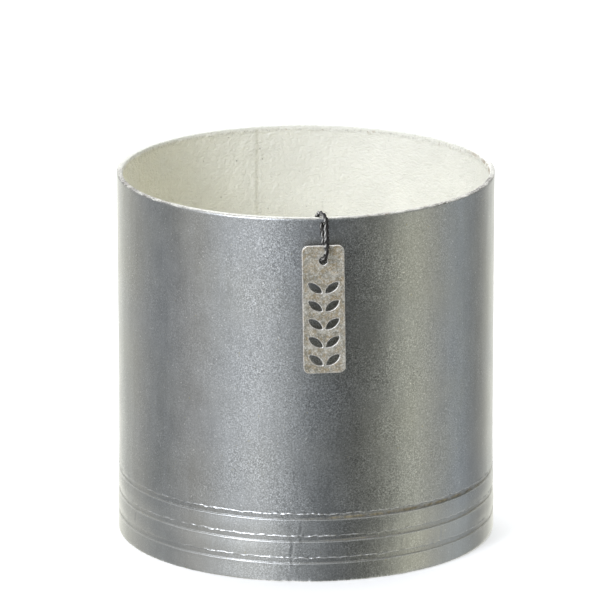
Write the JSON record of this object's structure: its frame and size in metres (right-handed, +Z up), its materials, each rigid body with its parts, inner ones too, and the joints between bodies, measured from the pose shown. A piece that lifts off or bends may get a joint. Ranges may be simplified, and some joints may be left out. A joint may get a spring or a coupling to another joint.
{
  "type": "candle tin",
  "caption": "Round open-top metal candle tin with three grooves round its foot, a pale lining and a pierced metal tag hanging on a loop of waxed cord.",
  "frame": {"origin": "middle of the tin's standing edge, on the axis of the wall", "axes": "+Z up along the axis of the wall, -Y through the hole that the tag hangs from"},
  "size_m": [0.1204, 0.1272, 0.1198],
  "materials": {
    "zinc_sheet": "satin zinc, finely speckled, worn at the edges",
    "pale_coat": "thick off-white coat with a soft bumpy surface",
    "base_sheet": "satin zinc",
    "seal_bead": "off-white bead, slightly glossy",
    "pewter": "antiqued pewter, satin, mottled brown in its hollows",
    "waxed_cord": "twisted waxed cotton, near black"
  },
  "bodies": {
    "tin": {"wall_shell": "zinc_sheet", "wall_lining": "pale_coat", "base_plate": "base_sheet", "base_lining": "pale_coat", "base_seal": "seal_bead", "cord_hole_run": "waxed_cord", "cord_rim_turn": "waxed_cord", "cord_knot": "waxed_cord"},
    "loop": {"cord_loop": "waxed_cord"},
    "tag": {"tag": "pewter"}
  },
  "joints": [
    {"name": "loop_lift", "type": "hinge", "parent": "tin", "child": "loop", "pos_m": [0, -0.06205, 0.1167], "axis": [-1, 0, 0], "range_deg": [0, 85]},
    {"name": "tag_swing", "type": "hinge", "parent": "loop", "child": "tag", "pos_m": [0, -0.0636, 0.1057], "axis": [0, 1, 0], "range_deg": [-20, 20]}
  ]
}
